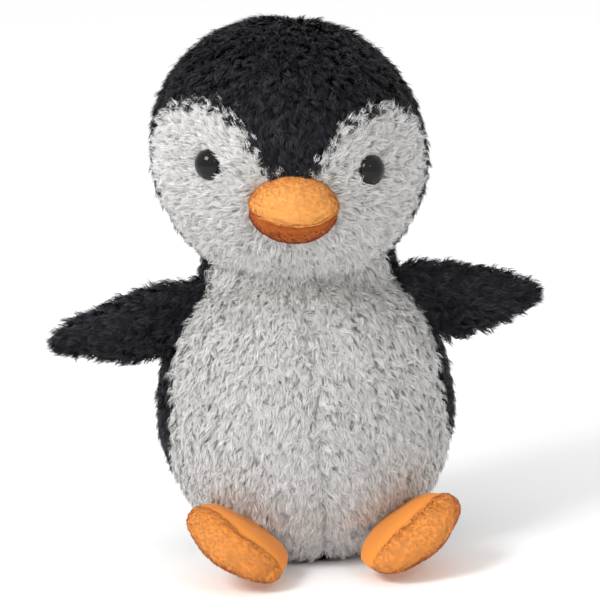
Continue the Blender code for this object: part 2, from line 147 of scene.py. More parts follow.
def brush(points, normals, faces, pile, lay, seed, trim=None, tone=None):
    """Tufts of fibre rooted on the faces: each fibre is a narrow ribbon that bends and tapers.

    lay gives the way the pile is brushed at a point, trim the share of its length left
    there, and tone what is added to its shade.
    """
    rng = np.random.default_rng(seed)
    corners = points.reshape(-1, 3)[faces]
    diagonals = np.cross(corners[:, 2] - corners[:, 0], corners[:, 3] - corners[:, 1])
    area = np.linalg.norm(diagonals, axis=1) / 2
    count = int(area.sum() * pile["tufts"])
    chosen = rng.choice(len(faces), count, p=area / area.sum())
    s, t = rng.random((2, count, 1))
    weights = np.stack(((1 - s) * (1 - t), s * (1 - t), s * t, (1 - s) * t), axis=1)
    centre = (corners[chosen] * weights).sum(axis=1)
    normal = unit((normals.reshape(-1, 3)[faces[chosen]] * weights).sum(axis=1))
    left = np.ones((count, 1)) if trim is None else trim(centre)[:, None]
    standing = left[:, 0] > LEAST_PILE
    centre, normal, left = centre[standing], normal[standing], left[standing]
    count = len(centre)

    flow = lay(centre)
    flow = unit(flow - normal * (flow * normal).sum(axis=1, keepdims=True))
    side = np.cross(normal, flow)
    stray = rng.normal(0, pile["stray"], (count, 1))
    flow = flow * np.cos(stray) + side * np.sin(stray)
    side = np.cross(normal, flow)
    length = pile["length"] * rng.uniform(*TUFT_SPREAD, (count, 1)) * left
    lift = pile["lift"] + rng.normal(0, LIFT_SPREAD, (count, 1))
    tip = centre + (flow * np.cos(lift) + normal * np.sin(lift)) * length

    fibres = (count, pile["fibres"], 1)
    angle = rng.uniform(0, TURN, fibres)
    share = np.sqrt(rng.random(fibres))
    offset = flow[:, None] * np.cos(angle) + side[:, None] * np.sin(angle)
    spread = pile["root_radius"] * share
    root = centre[:, None] + offset * spread
    end = tip[:, None] + offset * spread * pile["gather"]
    end = end + rng.normal(0, pile["scatter"], (*fibres[:2], 3))
    end = root + (end - root) * rng.uniform(*FIBRE_SPREAD, fibres)
    tuft_curl = rng.normal(0, pile["curl"], (count, 1, 1))
    fibre_curl = rng.normal(0, pile["curl"] / 3, fibres)
    bulge = normal[:, None] * pile["bulge"] + side[:, None] * tuft_curl
    bulge = bulge + side[:, None] * fibre_curl
    middle = (root + end) / 2 + bulge * length[:, None]

    along = unit(end - root)
    across = unit(np.cross(along, np.broadcast_to(normal[:, None], along.shape)))
    tilt = rng.uniform(-0.9, 0.9, fibres)
    across = across * np.cos(tilt) + np.cross(along, across) * np.sin(tilt)
    face = np.cross(across, along)
    half = across * pile["width"] / 2
    rows = [root - half, root + half, middle - half * 0.85, middle + half * 0.85, end]
    ribbon = np.stack(rows, axis=2).reshape(-1, 5, 3)
    ribbon[..., 2] = np.maximum(ribbon[..., 2], FLOOR_GAP)
    smooth, flat, round_tuft = pile["softness"]
    soft = unit(normal[:, None] * smooth + face * flat + offset * share * round_tuft)
    shade = rng.normal(0.5, pile["spread_shade"], (count, 1, 1)) + rng.normal(0, 0.1, fibres)
    if tone is not None:
        shade = shade + tone(centre)[:, None, None]
    return ribbon, soft.reshape(-1, 3), np.clip(shade, 0, 0.999).reshape(-1)


def add_fabric(name, points, normals, faces, fur, finish):
    """One piece of plush: its backing and its pile in a single mesh."""
    ribbon, soft, shade = fur
    used, faces = np.unique(faces, return_inverse=True)
    faces = faces.reshape(-1, 4)
    backing = points.reshape(-1, 3)[used].copy()
    backing[:, 2] = np.maximum(backing[:, 2], FLOOR_GAP)
    backing_triangles = np.concatenate((faces[:, (0, 1, 2)], faces[:, (0, 2, 3)]))
    first = len(backing) + 5 * np.arange(len(ribbon))[:, None, None]
    ribbon_triangles = (first + np.array(((0, 1, 3), (0, 3, 2), (2, 3, 4)))).reshape(-1, 3)
    triangles = np.concatenate((backing_triangles, ribbon_triangles)).astype(np.int32)
    places = np.concatenate((backing, ribbon.reshape(-1, 3)))

    mesh = bpy.data.meshes.new(name)
    mesh.vertices.add(len(places))
    mesh.vertices.foreach_set("co", places.astype(np.float32).ravel())
    mesh.loops.add(triangles.size)
    mesh.loops.foreach_set("vertex_index", triangles.ravel())
    mesh.polygons.add(len(triangles))
    starts = np.arange(0, triangles.size, 3, dtype=np.int32)
    mesh.polygons.foreach_set("loop_start", starts)
    mesh.update(calc_edges=True)
    mesh.shade_smooth()

    on_backing = np.zeros(len(backing))
    height = np.concatenate((on_backing, np.tile((0, 0, 0.5, 0.5, 1), len(ribbon))))
    tone = np.concatenate((on_backing + 0.5, np.repeat(shade, 5)))
    for label, values in (("pile_height", height), ("pile_shade", tone)):
        held = mesh.attributes.new(label, "FLOAT", "POINT")
        held.data.foreach_set("value", values.astype(np.float32))

    edge = np.concatenate((on_backing, np.tile((0, 1, 0, 1, 0.5), len(ribbon))))
    uv = np.stack((np.floor(tone * UV_CELLS) + edge, height * UV_CELLS), axis=1)[triangles]
    corner_cell = np.array(((0, 0), (1, 0), (0.5, 2)))
    uv[: len(backing_triangles)] = (UV_CELLS / 2, 0) + corner_cell
    layer = mesh.uv_layers.new(name="OFBake")
    layer.data.foreach_set("uv", (uv / UV_CELLS).astype(np.float32).ravel())

    skin = normals.reshape(-1, 3)[used]
    shading = np.concatenate((skin, np.repeat(soft, 5, axis=0)))
    mesh.normals_split_custom_set_from_vertices(shading)
    mesh.materials.append(finish)
    piece = bpy.data.objects.new(name, mesh)
    bpy.context.scene.collection.objects.link(piece)
    return piece


def new_material(name, roughness):
    made = bpy.data.materials.new(name)
    made.use_nodes = True
    shader = made.node_tree.nodes["Principled BSDF"]
    shader.inputs["Roughness"].default_value = roughness
    return made, made.node_tree, shader


def fibre_finish(name, shaded_roots, dark, light, roughness, sheen, darkest=0.0, lightest=1.0):
    """Pile with painted shade at its roots, which differs from tuft to tuft at its tips.

    Tufts with a shade up to `darkest` stay dark, and from `lightest` on they are light.
    """
    made, tree, shader = new_material(name, roughness)
    height = tree.nodes.new("ShaderNodeAttribute")
    height.attribute_name = "pile_height"
    shade = tree.nodes.new("ShaderNodeAttribute")
    shade.attribute_name = "pile_shade"
    tips = tree.nodes.new("ShaderNodeMix")
    tips.data_type = "RGBA"
    tips.inputs["A"].default_value = (*dark, 1)
    tips.inputs["B"].default_value = (*light, 1)
    colour = tree.nodes.new("ShaderNodeMix")
    colour.data_type = "RGBA"
    colour.inputs["A"].default_value = (*shaded_roots, 1)
    # the colour rises from the painted shade at the roots to the tips' own colour
    rise = tree.nodes.new("ShaderNodeMapRange")
    rise.interpolation_type = "SMOOTHSTEP"
    rise.inputs["From Max"].default_value = 0.75
    range_of_tufts = tree.nodes.new("ShaderNodeMapRange")
    range_of_tufts.inputs["From Min"].default_value = darkest
    range_of_tufts.inputs["From Max"].default_value = lightest
    tree.links.new(shade.outputs["Fac"], range_of_tufts.inputs["Value"])
    tree.links.new(range_of_tufts.outputs["Result"], tips.inputs["Factor"])
    tree.links.new(height.outputs["Fac"], rise.inputs["Value"])
    tree.links.new(rise.outputs["Result"], colour.inputs["Factor"])
    tree.links.new(tips.outputs["Result"], colour.inputs["B"])
    tree.links.new(colour.outputs["Result"], shader.inputs["Base Color"])
    shader.inputs["Sheen Weight"].default_value = sheen
    shader.inputs["Sheen Roughness"].default_value = 0.4
    return made


# The darker roots are painted shade.
WHITE_PLUSH = fibre_finish(
    "white_plush_fibre",
    shaded_roots=(0.53, 0.515, 0.49),
    dark=(0.60, 0.585, 0.565),
    light=(0.88, 0.88, 0.89),
    roughness=0.85,
    sheen=0.03,
)
# Tufts above the darkest shade get lighter bluish tips: painted highlights on the black pile. Its darker roots are
# painted shade.
BLACK_PLUSH = fibre_finish(
    "black_plush_fibre",
    shaded_roots=(0.001, 0.001, 0.002),
    dark=(0.002, 0.002, 0.003),
    light=(0.052, 0.049, 0.068),
    roughness=0.42,
    sheen=0.0,
    darkest=0.36,
    lightest=1.05,
)
BLACK_PLUSH.node_tree.nodes["Principled BSDF"].inputs["Specular IOR Level"].default_value = 0.22


def side_seam_y(points):
    """How far forward the seam between belly and back lies; it swings back low down."""
    return np.interp(points[..., 2], SIDE_SEAM_Z, SIDE_SEAM_Y)


def belly_seam_x(points):
    """How far to the toy's left the belly's centre seam lies; the back's seam is straight."""
    low = np.clip((BODY_TOP_Z - points[..., 2]) / BODY_TOP_Z, 0, 1)
    return np.where(points[..., 1] < 0, BELLY_SEAM_X * low, 0)


def body_trim(centre):
    """The pile is shorter along the belly seam, which catches it, and low on the sides."""
    gap = np.abs(centre[:, 0] - belly_seam_x(centre))
    low = np.clip((SIDE_TRIM_Z - centre[:, 2]) / SIDE_TRIM_FADE, 0, 1)
    low = low * (np.abs(centre[:, 0]) / BODY_HALF_WIDTH) ** 2
    return (1 - 0.35 * np.exp(-((gap / BELLY_SEAM_TRIM) ** 2))) * (1 - 0.45 * low)


def painted_chin_shade(centre):
    """Painted shade: deeper just under the chin, where the head shades the chest."""
    below = np.clip((CHIN_Z - centre[:, 2]) / CHIN_FADE, 0, 1)
    return -0.55 * (1 - below) ** 1.5


def body_skin():
    """The backing of the whole body, dipped along its seams."""
    lowest = -math.asin((BODY_WAIST_Z - BODY_LOW_Z) / BODY_DROP)
    highest = math.asin((BODY_TOP_Z - BODY_WAIST_Z) / BODY_RISE)
    tall = np.linspace(lowest, highest, 84)[:, None]
    around = np.linspace(0, TURN, 192, endpoint=False)[None, :]
    height = np.where(tall > 0, BODY_RISE, BODY_DROP)
    points = np.stack(
        (
            BODY_HALF_WIDTH * np.cos(tall) * np.sin(around),
            -BODY_HALF_DEPTH * np.cos(tall) * np.cos(around),
            BODY_WAIST_Z + height * np.sin(tall) + 0 * around,
        ),
        axis=-1,
    )
    normals = outward(points)
    middle = dip(points[..., 0] - belly_seam_x(points), *BELLY_SEAM_DIP)
    sides = dip(points[..., 1] - side_seam_y(points), *SIDE_SEAM_DIP)
    stuffed = lumps(points, seed=3, wavelength=0.045, height=0.0005)
    points = points + normals * (stuffed - BACKING_DEPTH - middle - sides)
    return points, outward(points)


def body_lay(centre):
    """Brushed down and a little away from the centre seam."""
    away = np.zeros_like(centre)
    gap = centre[:, 0] - belly_seam_x(centre)
    away[:, 0] = np.sign(gap) * (0.15 + 0.35 * np.exp(-((gap / 0.004) ** 2)))
    away[:, 2] = -1
    return away


body_points, body_normals = body_skin()
body_centres = face_centres(body_points)
front_half = body_centres[..., 1] < side_seam_y(body_centres)
for number, (side_name, side) in enumerate(SIDES.items()):
    own_side = side * (body_centres[..., 0] - belly_seam_x(body_centres)) > 0
    panels = (
        ("belly", front_half, WHITE_PLUSH, "white_plush"),
        ("back", ~front_half, BLACK_PLUSH, "black_plush"),
    )
    for panel_name, half, finish, slot in panels:
        faces = faces_of(body_points.shape, own_side & half)
        skin = (body_points, body_normals, faces)
        # the tone paints shade on the chest under the chin
        fur = brush(*skin, LONG_PILE, body_lay, 10 + number, body_trim, painted_chin_shade)
        piece = add_fabric(f"{panel_name}_plush_{side_name}", *skin, fur, finish)
        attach(piece, "torso")
        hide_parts(f"{panel_name}_{side_name}")


# ---------------------------------------------------------------- Seat
# The flat oval panel of black plush that the toy sits on. It is sewn into the four body
# panels last but one, and the weight above presses its pile flat.

SEAT_FLAT = 0.024               # half its flat width
SEAT_RIM = 0.0345               # and half its whole width
SEAT_LOW_Z = 0.0012
SEAT_RIM_RISE = 0.0045
SEAT_PILE = dict(LONG_PILE, tufts=150_000, length=0.004, lift=math.radians(12), fibres=9)


def seat_skin():
    """Flat in the middle and curved up at its rim to meet the body panels."""
    share = np.linspace(0.03, 1, 22)[::-1, None]
    around = np.linspace(0, TURN, 96, endpoint=False)[None, ::-1]
    oval = BODY_HALF_DEPTH / BODY_HALF_WIDTH
    rim = np.clip((share * SEAT_RIM - SEAT_FLAT) / (SEAT_RIM - SEAT_FLAT), 0, 1)
    points = np.stack(
        (
            SEAT_RIM * share * np.sin(-around),
            -SEAT_RIM * oval * share * np.cos(around),
            SEAT_LOW_Z + SEAT_RIM_RISE * rim**2 + 0 * around,
        ),
        axis=-1,
    )
    return points, -outward(points)


def seat_lay(centre):
    """Pressed outwards from just in front of the middle."""
    return centre * (1, 1, 0) + (0, 0.002, 0)


def seat_trim(centre):
    """The pile is caught short in the seam round the rim."""
    bare_from, fade = SEAT_RIM - 0.004, 0.006
    return np.clip((bare_from - np.linalg.norm(centre[:, :2], axis=1)) / fade, 0, 1)


seat_points, seat_normals = seat_skin()
whole_panel = np.ones((seat_points.shape[0] - 1, seat_points.shape[1]), bool)
faces = faces_of(seat_points.shape, whole_panel)
skin = (seat_points, seat_normals, faces)
fur = brush(*skin, SEAT_PILE, seat_lay, 20, seat_trim)
piece = add_fabric("seat_plush", *skin, fur, BLACK_PLUSH)
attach(piece, "torso")
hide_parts("seat_panel")


# ---------------------------------------------------------------- Neck
# Head and body are sewn together in a ring, which pulls the plush in under the chin. The
# fabric is white in front and black behind, and is cut into a lower half, the collar, and an
# upper half, the throat and the nape.

joints = {joint["name"]: joint for joint in frame["joints"]}
NECK = joints["neck_turn"]["pos_m"]
NECK_LOW_Z = NECK[2] - 0.014
NECK_HIGH_Z = NECK[2] + 0.011
NECK_LOW_RADIUS = 0.0450
NECK_HIGH_RADIUS = 0.0395
NECK_FRONT = 0.72               # depth in front of the middle, to its half width
NECK_BACK = 0.9
NECK_SEAM_Y = -0.013            # where white meets black
NECK_FOLD_Z = NECK[2] - 0.002   # where the collar meets the throat and the nape
COLLAR_HELD_Z = NECK_LOW_Z + 0.004      # a little above the collar's lower edge
NAPE_HELD_Z = NECK_HIGH_Z - 0.002       # a little below the nape's upper edge
NECK_PILE = dict(LONG_PILE, lift=math.radians(28))


def neck_skin():
    rise = np.linspace(0, 1, 22)[:, None]
    around = np.linspace(0, TURN, 144, endpoint=False)[None, :]
    radius = NECK_LOW_RADIUS + (NECK_HIGH_RADIUS - NECK_LOW_RADIUS) * rise
    oval = np.where(np.cos(around) > 0, NECK_FRONT, NECK_BACK)
    points = np.stack(
        (
            radius * np.sin(around),
            -oval * radius * np.cos(around),
            NECK_LOW_Z + (NECK_HIGH_Z - NECK_LOW_Z) * rise + 0 * around,
        ),
        axis=-1,
    )
    return points, outward(points)


def neck_lay(centre):
    """Brushed down and a little outwards."""
    return centre * (6, 6, 0) + (0, 0, -1)


neck_points, neck_normals = neck_skin()
neck_centres = face_centres(neck_points)
neck_front = neck_centres[..., 1] < NECK_SEAM_Y
neck_low = neck_centres[..., 2] < NECK_FOLD_Z
for lower, upper, half, finish, slot in (
    ("collar_plush_front", "throat_plush", neck_front, WHITE_PLUSH, "white_plush"),
    ("collar_plush_back", "nape_plush", ~neck_front, BLACK_PLUSH, "black_plush"),
):
    for name, level, bodies, low, high in (
        (lower, neck_low, ("torso", "neck"), COLLAR_HELD_Z, NECK_FOLD_Z),
        (upper, ~neck_low, ("neck", "head"), NECK_FOLD_Z, NAPE_HELD_Z),
    ):
        skin = (neck_points, neck_normals, faces_of(neck_points.shape, half & level))
        fur = brush(*skin, NECK_PILE, neck_lay, 30)
        piece = add_fabric(name, *skin, fur, finish)
        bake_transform(piece)


# ---------------------------------------------------------------- Head
# Two black panels, joined over the top, end in a peak above the beak. Two white panels make
# the face, each with a round lobe over its eye, and meet in a seam under the beak. All four
# are long-pile plush, stuffed to a firm ball.

HEAD_HALF = np.array((0.0615, 0.059, 0.0605))
HEAD_X = -0.0015
HEAD_MIDDLE = Vector((HEAD_X, 0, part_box("crown_left")[1][2] - HEAD_HALF[2]))
HEAD_TILT = math.radians(5.3)   # leans to the toy's left
HEAD_TURN = math.radians(-3)    # looks to its right
HEAD_CUT = 0.055                # the head's fabric ends this far below its middle
HEAD_SLANT = 0.0030             # stuffed fuller at its upper right and lower left
HEAD_SEAM_DIP = (0.0045, 0.0012)
FACE_SEAM_Y = -0.012            # the white face ends here, towards the back
PEAK_HALF_WIDTH = 0.0095        # the flat end of the black peak
PEAK_Z = 0.001
LOBE_TOP = (0.038, 0.0265)      # distance from the middle, and height
LOBE_SIDE = (0.0605, 0.003)
HEAD_LEAN = Matrix.Rotation(HEAD_TURN, 4, "Z") @ Matrix.Rotation(HEAD_TILT, 4, "Y")
HEAD_FRAME = np.array(Matrix.Translation(HEAD_MIDDLE) @ HEAD_LEAN)

EYE_X = 0.0362
EYE_Z = 0.0023
EYE_RADIUS = 0.007
EYE_BARE_RADIUS = 0.0056        # no pile under an eye
EYE_TRIM_FADE = 0.0035
EYE_WHORL_RADIUS = 0.010        # the pile turns away from an eye within this
BEAK_MIDDLE = np.array((0.0022, -0.057, -0.0145))
BEAK_HALF = np.array((0.0205, 0.021, 0.0155))
BEAK_BARE_SHARE = 0.86          # no pile under the beak, as a share of its half sizes
BEAK_TRIM_FADE = 0.25


def to_world(points):
    return points @ HEAD_FRAME[:3, :3].T + HEAD_FRAME[:3, 3]


def to_head(points):
    return (points - HEAD_FRAME[:3, 3]) @ HEAD_FRAME[:3, :3]


def head_skin():
    """The backing of the whole head in the head's own frame, dipped along its seams."""
    lowest = -math.asin(HEAD_CUT / HEAD_HALF[2])
    tall = np.linspace(lowest, math.radians(89.7), 92)[:, None]
    around = np.linspace(0, TURN, 192, endpoint=False)[None, :]
    points = HEAD_HALF * np.stack(
        (
            np.cos(tall) * np.sin(around),
            -np.cos(tall) * np.cos(around),
            np.sin(tall) + 0 * around,
        ),
        axis=-1,
    )
    normals = unit(points / HEAD_HALF**2)
    middle = dip(points[..., 0], *HEAD_SEAM_DIP)
    slant = HEAD_SLANT * (points[..., :1] / HEAD_HALF[0]) * (points[..., 2:] / HEAD_HALF[2])
    stuffed = lumps(points, seed=5, wavelength=0.05, height=0.0004)
    points = points + normals * (stuffed - BACKING_DEPTH - middle - slant)
    return points, normals


def lobe_edge(across):
    """Height of the white face's upper edge at a distance from the head's middle."""
    curves = (
        ((PEAK_HALF_WIDTH, PEAK_Z), (0.0165, 0.016), (0.023, LOBE_TOP[1]), LOBE_TOP),
        (LOBE_TOP, (0.052, LOBE_TOP[1]), (0.0600, 0.014), LOBE_SIDE),
    )
    t = np.linspace(0, 1, 24)[:, None]
    drawn = [
        (1 - t) ** 3 * a + 3 * t * (1 - t) ** 2 * b + 3 * t * t * (1 - t) * c + t**3 * d
        for a, b, c, d in (map(np.array, curve) for curve in curves)
    ]
    outline = np.concatenate(drawn)
    return np.interp(across, outline[:, 0], outline[:, 1])


def eye_middle(name):
    x, z = SIDES[name] * EYE_X, EYE_Z
    share = 1 - (x / HEAD_HALF[0]) ** 2 - (z / HEAD_HALF[2]) ** 2
    return np.array((x, -HEAD_HALF[1] * math.sqrt(share), z))


def head_trim(centre):
    """The pile is left off under the eyes and beak and kept short beside them."""
    local = to_head(centre)
    left = np.ones(len(local))
    for name in SIDES:
        reach = np.linalg.norm(local - eye_middle(name), axis=1)
        left = left * np.clip((reach - EYE_BARE_RADIUS) / EYE_TRIM_FADE, 0, 1) ** 0.5
    beak = np.linalg.norm((local - BEAK_MIDDLE) / BEAK_HALF, axis=1)
    return left * np.clip((beak - BEAK_BARE_SHARE) / BEAK_TRIM_FADE, 0, 1) ** 0.5


def face_lay(centre):
    """Brushed outwards from the beak, and away from each eye close to it."""
    local = to_head(centre)
    flow = unit(local - BEAK_MIDDLE) + (0, 0, -0.2)
    for name in SIDES:
        away = local - eye_middle(name)
        reach = np.linalg.norm(away, axis=1, keepdims=True)
        flow = flow + 0.5 * unit(away) * np.exp(-((reach / EYE_WHORL_RADIUS) ** 2))
    return flow @ HEAD_FRAME[:3, :3].T


def crown_lay(centre):
    """Brushed down from the top of the head, and forwards over the brow."""
    local = to_head(centre)
    flow = unit(local * (1, 1, 0) + (0, -0.01, 0)) * 0.8 + (0, 0, -0.75)
    return flow @ HEAD_FRAME[:3, :3].T


head_local, head_local_normals = head_skin()
head_points = to_world(head_local)
head_normals = head_local_normals @ HEAD_FRAME[:3, :3].T
local_centres = face_centres(head_local)
white_face = (local_centres[..., 1] < FACE_SEAM_Y) & (
    local_centres[..., 2] < lobe_edge(np.abs(local_centres[..., 0]))
)
for number, (side_name, side) in enumerate(SIDES.items()):
    own_side = side * local_centres[..., 0] > 0
    panels = (
        ("crown", ~white_face, BLACK_PLUSH, "black_plush", crown_lay),
        ("face", white_face, WHITE_PLUSH, "white_plush", face_lay),
    )
    for panel_name, area, finish, slot, lay in panels:
        skin = (head_points, head_normals, faces_of(head_points.shape, own_side & area))
        fur = brush(*skin, LONG_PILE, lay, 40 + number, head_trim)
        piece = add_fabric(f"{panel_name}_plush_{side_name}", *skin, fur, finish)
        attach(piece, "head")
        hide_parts(f"{panel_name}_{side_name}")


# ---------------------------------------------------------------- Eyes
# Domed safety eyes of glossy black plastic, pressed through the face fabric on a ribbed
# shank and locked behind it. The thin flange round the dome is a little browner.

EYE_HEIGHT = 0.0052
EYE_DOME_RADIUS = EYE_RADIUS * 0.955
EYE_DOME_DROP = 0.0055 * 0.86   # the dome's height, were it a whole half ball
EYE_SHANK_RADIUS = 0.0022
EYE_SHANK_LENGTH = 0.013
EYE_RIBS = 12
EYE_RIB_DEPTH = 0.0002
EYE_COLUMNS = 64


def eye_profile():
    """Radius and height down the eye's outer side, with 0 to 1 for how dark it is."""
    dome = [
        (EYE_DOME_RADIUS * math.sin(a), EYE_HEIGHT - EYE_DOME_DROP * (1 - math.cos(a)), 1.0)
        for a in np.linspace(0.02, math.radians(84), 18)
    ]
    flange = [
        (EYE_RADIUS * 0.975, 0.0008, 0.35),
        (EYE_RADIUS, 0.00065, 0.0),
        (EYE_RADIUS, 0.00035, 0.0),
    ]
    shank = [(EYE_SHANK_RADIUS, 0.0003, 0.0)]
    for rib in range(EYE_RIBS):
        depth = -EYE_SHANK_LENGTH * (rib + 1) / EYE_RIBS
        shank.append((EYE_SHANK_RADIUS - EYE_RIB_DEPTH * (rib % 2), depth, 0.5))
    return dome + flange + shank


def glossy_eye():
    made, tree, shader = new_material("glossy_black_eye", 0.04)
    dark = tree.nodes.new("ShaderNodeAttribute")
    dark.attribute_name = "eye_dark"
    ramp = tree.nodes.new("ShaderNodeMix")
    ramp.data_type = "RGBA"
    ramp.inputs["A"].default_value = (0.060, 0.042, 0.030, 1)
    ramp.inputs["B"].default_value = (0.004, 0.0035, 0.0035, 1)
    tree.links.new(dark.outputs["Fac"], ramp.inputs["Factor"])
    tree.links.new(ramp.outputs["Result"], shader.inputs["Base Color"])
    shader.inputs["Specular IOR Level"].default_value = 0.28
    return made


EYE_PLASTIC = glossy_eye()


def eye_piece(name):
    profile = np.array(eye_profile())
    rows, columns = len(profile), EYE_COLUMNS
    around = np.linspace(0, TURN, columns, endpoint=False)[None, :, None]
    radius = profile[:, None, :1]
    points = np.concatenate((radius * np.cos(around), radius * np.sin(around)), axis=2)
    height = np.broadcast_to(profile[:, None, 1:2], (rows, columns, 1))
    points = np.concatenate((points, height), axis=2).reshape(-1, 3)
    middle = eye_middle(name)
    normal = Vector(middle / HEAD_HALF**2)
    turn = np.array(normal.to_track_quat("Z", "Y").to_matrix())
    points = to_world(points @ turn.T + middle)
    quads = faces_of((rows, columns), np.ones((rows - 1, columns), bool))[:, ::-1]
    mesh = bpy.data.meshes.new(f"eye_dome_{name}")
    last = (rows - 1) * columns
    caps = [list(range(columns)), [last + n for n in reversed(range(columns))]]
    mesh.from_pydata(points.tolist(), [], quads.tolist() + caps)
    mesh.shade_smooth()
    held = mesh.attributes.new("eye_dark", "FLOAT", "POINT")
    held.data.foreach_set("value", np.repeat(profile[:, 2], columns).astype(np.float32))
    mesh.materials.append(EYE_PLASTIC)
    piece = bpy.data.objects.new(mesh.name, mesh)
    bpy.context.scene.collection.objects.link(piece)
    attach(piece, "head")
    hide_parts(f"eye_{name}")


for side_name in SIDES:
    eye_piece(side_name)


# ---------------------------------------------------------------- Beak
# Two panels of short-pile velboa in two oranges, sewn together along the mouth and stuffed
# lightly. The upper panel is cut fuller, so its lip droops over the seam and wrinkles.

BEAK_BACKING = 0.0004
BEAK_SWEEP = math.radians(112)  # each panel reaches this far round, into the head
BEAK_POLE = math.radians(88)    # just short of its top and bottom points
MOUTH_DROP = 0.001
MOUTH_TUCK = 0.0011             # the seam pulls both lips in
LIP_DROOP = 0.0040
LIP_SWELL = 0.0021
LIP_WRINKLE = 0.0004
WRINKLE_RATE = 34               # up the lip
WRINKLE_BEND = 3                # and how they bend on their way round it
CHIN_HOLLOW = 0.0004
BEAK_PILE = {
    "tufts": 3_000_000,
    "fibres": 3,
    "length": 0.0009,
    "lift": math.radians(15),
    "stray": 0.35,
    "root_radius": 0.0004,
    "gather": 0.5,
    "scatter": 0.0001,
    "width": 0.00026,
    "bulge": 0.08,
    "curl": 0.14,
    "spread_shade": 0.16,
    "softness": (1.0, 0.04, 0.04),
}


def velboa_finish(name, shaded_roots, dark, light):
    return fibre_finish(name, shaded_roots, dark, light, 0.75, 0.06)


UPPER_VELBOA = velboa_finish(
    "light_orange_velboa",
    shaded_roots=(0.84, 0.35, 0.065),
    dark=(0.86, 0.38, 0.08),
    light=(0.86, 0.48, 0.17),
)
LOWER_VELBOA = velboa_finish(
    "deep_orange_velboa",
    shaded_roots=(0.48, 0.10, 0.005),
    dark=(0.50, 0.115, 0.006),
    light=(0.60, 0.18, 0.015),
)


def beak_skin(upper):
    """One panel of the beak, from the mouth to its pole, in the head's own frame."""
    sweep = np.linspace(-BEAK_SWEEP, BEAK_SWEEP, 110)[None, :]
    front = np.clip(np.cos(sweep), 0, 1)
    mouth = np.arcsin(-(MOUTH_DROP + LIP_DROOP * front**1.5) / BEAK_HALF[2])
    share = np.linspace(0, 1, 46)[:, None]
    if upper:
        tall = mouth + (BEAK_POLE - mouth) * share
    else:
        tall = -BEAK_POLE + (mouth + BEAK_POLE) * share
    points = np.stack(
        (np.cos(tall) * np.sin(sweep), -np.cos(tall) * np.cos(sweep), np.sin(tall)), axis=-1
    )
    points = points * BEAK_HALF
    normals = unit(points / BEAK_HALF**2)
    rise = np.abs(tall - mouth)
    tuck = MOUTH_TUCK * np.exp(-((rise / 0.10) ** 2))
    if upper:
        lip = LIP_SWELL * front * np.exp(-(((rise - 0.30) / 0.20) ** 2))
        wrinkles = np.sin(rise * WRINKLE_RATE + WRINKLE_BEND * np.sin(sweep * 4))
        fold = LIP_WRINKLE * front * np.exp(-((rise / 0.55) ** 2)) * wrinkles
        change = lip + fold - tuck
    else:
        change = -tuck - CHIN_HOLLOW * front * np.exp(-((rise / 0.5) ** 2))
    uneven = normals * lumps(points, seed=8, wavelength=0.014, height=0.00012)
    points = points + normals * (change - BEAK_BACKING)[..., None] + uneven
    return BEAK_MIDDLE + points


def beak_lay(centre):
    """Brushed from the head towards the tip."""
    local = to_head(centre) - BEAK_MIDDLE
    return (local * (0.5, 0, 0.5) + (0, -0.02, 0)) @ HEAD_FRAME[:3, :3].T


def lip_tone(centre):
    """Paler towards the top of the beak, in random patches."""
    local = to_head(centre) - BEAK_MIDDLE
    patches = lumps(centre, seed=12, wavelength=0.008, height=0.05)[..., 0]
    return np.clip(local[:, 2] / BEAK_HALF[2], 0, 1) * 0.35 + patches


for part, finish in (("upper", UPPER_VELBOA), ("lower", LOWER_VELBOA)):
    points = to_world(beak_skin(part == "upper"))
    normals = outward(points)
    keep = np.ones((points.shape[0] - 1, points.shape[1]), bool)
    keep[:, -1] = False             # the panel is open towards the head
    skin = (points, normals, faces_of(points.shape, keep))
    fur = brush(*skin, BEAK_PILE, beak_lay, 50, tone=lip_tone)
    piece = add_fabric(f"beak_velboa_{part}", *skin, fur, finish)
    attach(piece, "head")
    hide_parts(f"beak_{part}")


# ---------------------------------------------------------------- Wings
# Each wing is two leaf-shaped panels of black plush, sewn round the edge, turned, lightly
# stuffed and caught in the body's side seam, where it flops. Its pile is brushed to the tip.

WING_LENGTH = {"left": 0.0525, "right": 0.0590}     # from the sewn edge to the tip
WING_HALF = (0.0180, 0.0078)    # half its width and half its thickness
WING_TAPER = 0.42
WING_ROOT = -0.45               # where the leaf is sewn: -1 would be its pointed end
WING_START = -0.66              # and where its fabric starts, inside the body's pile
WING_PINCH = 0.25               # how thick it is at the sewn edge, to its middle
WING_DROOP = {"left": math.radians(-1.5), "right": math.radians(6)}
WING_BACKING = 0.0009
WING_PILE = dict(LONG_PILE, length=0.0060)
TIP_END = math.radians(89.5)    # just short of the tip, so that its ring stays open


def limb_skin(size, hinge, axes, backing, start, shape=None):
    """The backing of a padded limb; its rows run from the sewn edge to the tip."""
    length, (half_width, half_thickness), taper, root, pinch = size
    out, wide, thick = axes
    along = np.sin(np.linspace(math.asin(start), TIP_END, 64))[:, None]
    around = np.linspace(0, TURN, 120, endpoint=False)[None, :]
    ring = np.sqrt(1 - along**2) * (1 - taper * along)
    filled = np.clip((along - root) / (0.4 - root), 0, 1)
    swell = pinch + (1 - pinch) * np.sin(filled * math.pi / 2)
    local = np.stack(
        (
            (along - root) * length / (1 - root) + 0 * around,
            ring * half_width * np.cos(around),
            ring * half_thickness * swell * np.sin(around),
        ),
        axis=-1,
    )
    if shape is not None:
        local = shape(local)
    frame_rows = np.array((out, wide, thick))
    points = local @ frame_rows + np.array(hinge)
    if np.cross(np.array(wide), np.array(thick)) @ np.array(out) < 0:
        points, local = points[:, ::-1], local[:, ::-1]
    normals = outward(points)
    return points - normals * backing, normals, local


